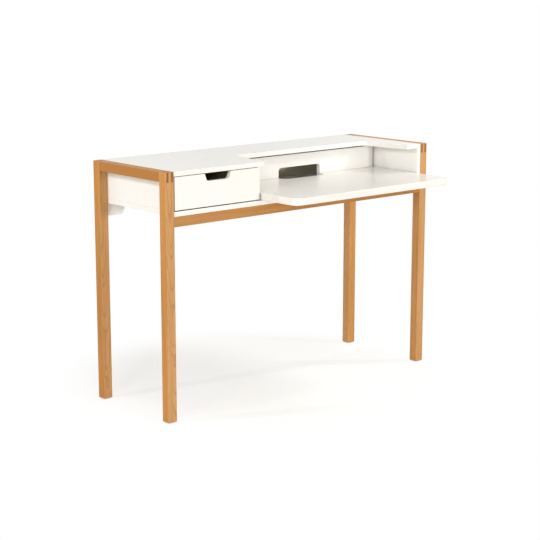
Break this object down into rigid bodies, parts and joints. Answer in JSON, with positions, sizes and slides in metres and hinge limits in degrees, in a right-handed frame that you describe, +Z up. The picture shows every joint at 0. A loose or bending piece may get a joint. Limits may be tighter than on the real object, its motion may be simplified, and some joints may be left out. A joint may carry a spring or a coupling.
{
  "type": "kneehole desk",
  "caption": "Kneehole desk with an oak leg frame, a white lacquered case, a drawer with a finger notch and a pull-out worktop with a cable upstand.",
  "frame": {"origin": "on the floor, at the middle of the desk's length and of its depth with the worktop pulled out", "axes": "+X along the desk's length from the drawer towards the worktop, +Y from front to back, +Z up"},
  "size_m": [1.2, 0.574, 0.825],
  "materials": {
    "oak": "oiled solid oak, straight grain along each piece, satin",
    "white_lacquer": "white satin lacquer on board, slightly warm",
    "drawer_box": "clear lacquered birch board",
    "beech": "waxed beech",
    "steel": "zinc-plated steel",
    "brass": "turned brass",
    "glide_plastic": "matt nylon",
    "rubber": "soft clear rubber"
  },
  "bodies": {
    "frame": {"left_front_leg": "oak", "left_rear_leg": "oak", "left_top_rail": "oak", "right_front_leg": "oak", "right_rear_leg": "oak", "right_top_rail": "oak", "front_rail": "oak", "top_panel": "white_lacquer", "bottom_panel": "white_lacquer", "left_side_panel": "white_lacquer", "right_side_panel": "white_lacquer", "centre_divider": "white_lacquer", "back_panel": "white_lacquer", "case_dowels": "beech", "ear_dowels": "beech", "frame_bolts": "steel", "frame_inserts": "brass", "back_panel_screws": "steel", "front_rail_screws": "steel", "drawer_runner_left": "beech", "drawer_runner_right": "beech", "drawer_runner_screws": "steel", "worktop_guide_left": "beech", "worktop_guide_right": "beech", "worktop_guide_screws": "steel", "worktop_glide_strips": "glide_plastic", "worktop_stop_pins": "steel", "foot_glides": "glide_plastic"},
    "worktop": {"worktop_board": "white_lacquer", "worktop_upstand": "white_lacquer", "upstand_dowels": "beech", "upstand_screws": "steel"},
    "drawer": {"drawer_front": "white_lacquer", "drawer_left_side": "drawer_box", "drawer_right_side": "drawer_box", "drawer_back": "drawer_box", "drawer_bottom": "drawer_box", "drawer_dowels": "beech", "drawer_bottom_screws": "steel", "drawer_bumpers": "rubber"}
  },
  "joints": [
    {"name": "worktop_slide", "type": "slide", "parent": "frame", "child": "worktop", "axis": [0, 1, 0], "range_m": [0, 0.14]},
    {"name": "drawer_slide", "type": "slide", "parent": "frame", "child": "drawer", "axis": [0, -1, 0], "range_m": [0, 0.25]}
  ]
}
